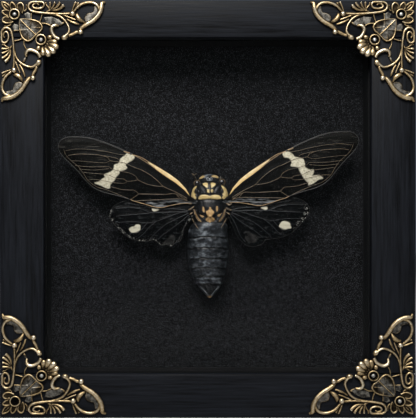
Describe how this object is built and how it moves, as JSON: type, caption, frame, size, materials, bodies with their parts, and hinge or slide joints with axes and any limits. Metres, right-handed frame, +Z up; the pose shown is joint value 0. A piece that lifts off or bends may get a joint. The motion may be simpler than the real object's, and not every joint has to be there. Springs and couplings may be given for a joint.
{
  "type": "framed cicada specimen",
  "caption": "Large dark cicada with spread wings in a small black wooden box frame, with a glass front and antique brass filigree corner ornaments.",
  "frame": {"origin": "middle of the frame's footprint, on the surface that the bottom rail stands on", "axes": "+Z up along the insect's body towards its head, -Y out of the glass front, +X to the viewer's right"},
  "size_m": [0.1664, 0.0304, 0.1668],
  "materials": {
    "frame_wood": "black paint over straight grain, satin",
    "glass": "clear",
    "spacer_strip": "matt black",
    "display_board": "fine pebbled black",
    "back_panel": "bare fibreboard",
    "antique_brass": "antiqued, dark in the recesses, worn bright on the relief",
    "bright_steel": "bright",
    "zinc_plate": "zinc plated",
    "cicada_body": "dark shell with a pale bloom, yellow and tan marks",
    "forewing": "smoky membrane, tan veins, white band, yellow leading edge",
    "hindwing": "blue-black membrane with pale spots"
  },
  "bodies": {
    "root": {"back_panel": "back_panel", "cicada_body": "cicada_body", "corner_ornament_bottom_left": "antique_brass", "corner_ornament_bottom_right": "antique_brass", "corner_ornament_top_left": "antique_brass", "corner_ornament_top_right": "antique_brass", "display_board": "display_board", "forewing_left": "forewing", "forewing_right": "forewing", "glass_pane": "glass", "hanger_nail_left": "bright_steel", "hanger_nail_right": "bright_steel", "hindwing_left": "hindwing", "hindwing_right": "hindwing", "nail_bottom_left_fan": "bright_steel", "nail_bottom_right_fan": "bright_steel", "nail_bottom_right_flower": "bright_steel", "nail_top_left_fan": "bright_steel", "nail_top_left_flower": "bright_steel", "nail_top_right_fan": "bright_steel", "nail_top_right_flower": "bright_steel", "rail_bottom": "frame_wood", "rail_top": "frame_wood", "sawtooth_hanger": "zinc_plate", "spacer_bottom": "spacer_strip", "spacer_left": "spacer_strip", "spacer_right": "spacer_strip", "spacer_top": "spacer_strip", "specimen_pin": "bright_steel", "stile_left": "frame_wood", "stile_right": "frame_wood", "turn_button_left_lower": "zinc_plate", "turn_button_left_lower_screw": "bright_steel", "turn_button_left_upper": "zinc_plate", "turn_button_left_upper_screw": "bright_steel", "turn_button_right_lower": "zinc_plate", "turn_button_right_lower_screw": "bright_steel", "turn_button_right_upper": "zinc_plate", "turn_button_right_upper_screw": "bright_steel"}
  },
  "joints": []
}
